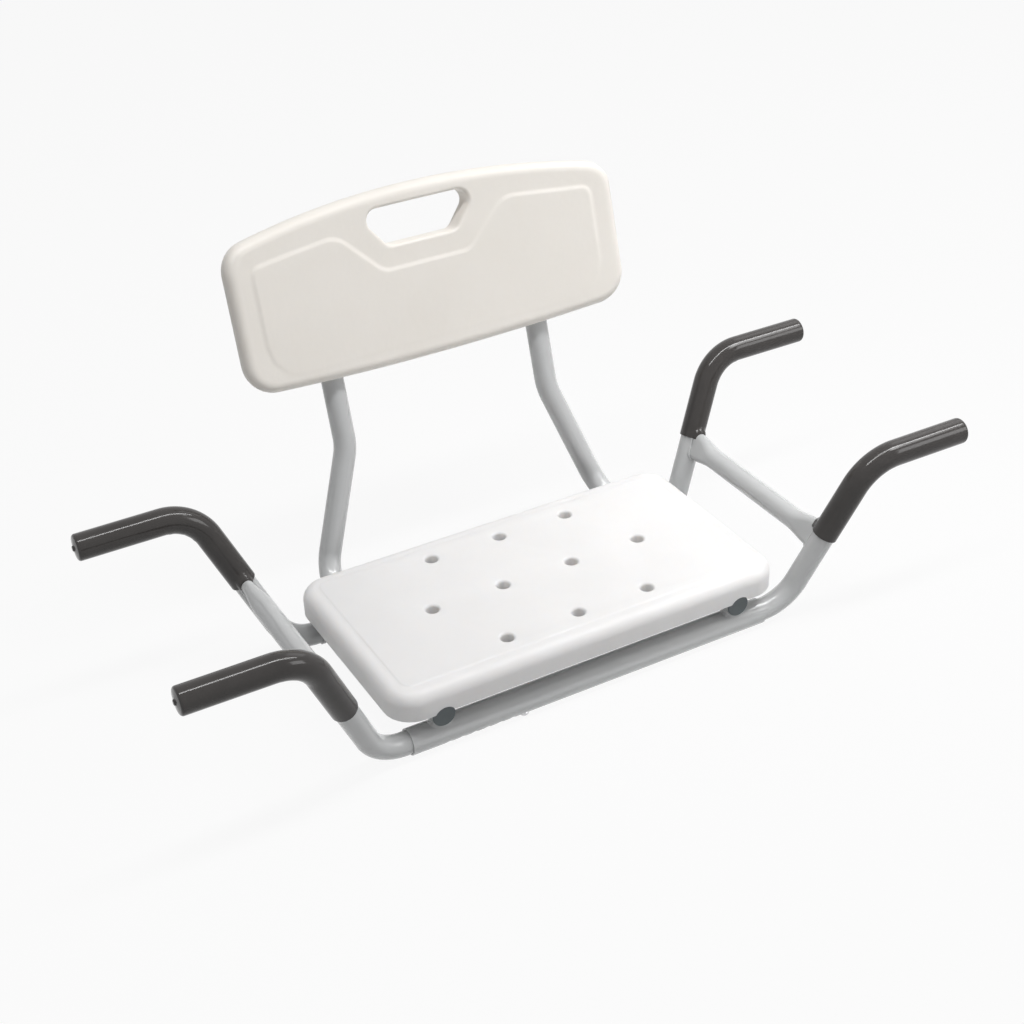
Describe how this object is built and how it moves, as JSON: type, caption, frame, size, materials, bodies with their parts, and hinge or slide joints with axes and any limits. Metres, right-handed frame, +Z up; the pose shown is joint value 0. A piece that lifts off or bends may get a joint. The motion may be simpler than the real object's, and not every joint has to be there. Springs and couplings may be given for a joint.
{
  "type": "bath seat",
  "caption": "Bath seat with a backrest that hangs from the rims of a tub by gripped handles; each side's handle frame slides in cross tubes and locks with a snap button.",
  "frame": {"origin": "middle of the footprint at the underside of the two cross tubes", "axes": "+X along the cross tubes towards the sitter's left hand, +Y from the seat to the back panel, +Z up"},
  "size_m": [0.8, 0.3815, 0.3885],
  "materials": {
    "tube_paint": "light grey powder coat, slight gloss",
    "grip_vinyl": "dark grey dipped soft vinyl, glossy",
    "plug_slate": "slate grey moulded plug, satin",
    "seat_white": "white moulded plastic, fine grain",
    "panel_white": "warm white moulded plastic, fine grain",
    "screw_steel": "stainless",
    "button_steel": "plated, polished by use",
    "spring_steel": "spring steel strip",
    "insert_brass": "turned"
  },
  "bodies": {
    "seat_frame": {"front_cross_tube": "tube_paint", "rear_cross_tube": "tube_paint", "left_side_rail": "tube_paint", "right_side_rail": "tube_paint", "rail_saddles": "tube_paint", "left_rail_plug": "plug_slate", "right_rail_plug": "plug_slate", "left_post_plug": "plug_slate", "right_post_plug": "plug_slate", "seat_board": "seat_white", "seat_inserts": "insert_brass", "seat_screws": "screw_steel", "back_panel": "panel_white", "back_screws": "screw_steel"},
    "left_arms": {"left_front_arm": "tube_paint", "left_rear_arm": "tube_paint", "left_crossbar": "tube_paint", "left_front_grip": "grip_vinyl", "left_rear_grip": "grip_vinyl", "left_button_spring": "spring_steel"},
    "left_button": {"left_snap_button": "button_steel"},
    "right_arms": {"right_front_arm": "tube_paint", "right_rear_arm": "tube_paint", "right_crossbar": "tube_paint", "right_front_grip": "grip_vinyl", "right_rear_grip": "grip_vinyl", "right_button_spring": "spring_steel"},
    "right_button": {"right_snap_button": "button_steel"}
  },
  "joints": [
    {"name": "left_width", "type": "slide", "parent": "seat_frame", "child": "left_arms", "axis": [-1, 0, 0], "range_m": [0, 0.0775]},
    {"name": "right_width", "type": "slide", "parent": "seat_frame", "child": "right_arms", "axis": [1, 0, 0], "range_m": [0, 0.0775]},
    {"name": "left_button_press", "type": "slide", "parent": "left_arms", "child": "left_button", "axis": [0, 0.6428, 0.766], "range_m": [0, 0.0038], "stiffness_N_per_m": 800, "springref_m": -0.001, "deforming": ["left_button_spring"]},
    {"name": "right_button_press", "type": "slide", "parent": "right_arms", "child": "right_button", "axis": [0, -0.6428, 0.766], "range_m": [0, 0.0038], "stiffness_N_per_m": 800, "springref_m": -0.001, "deforming": ["right_button_spring"]}
  ]
}
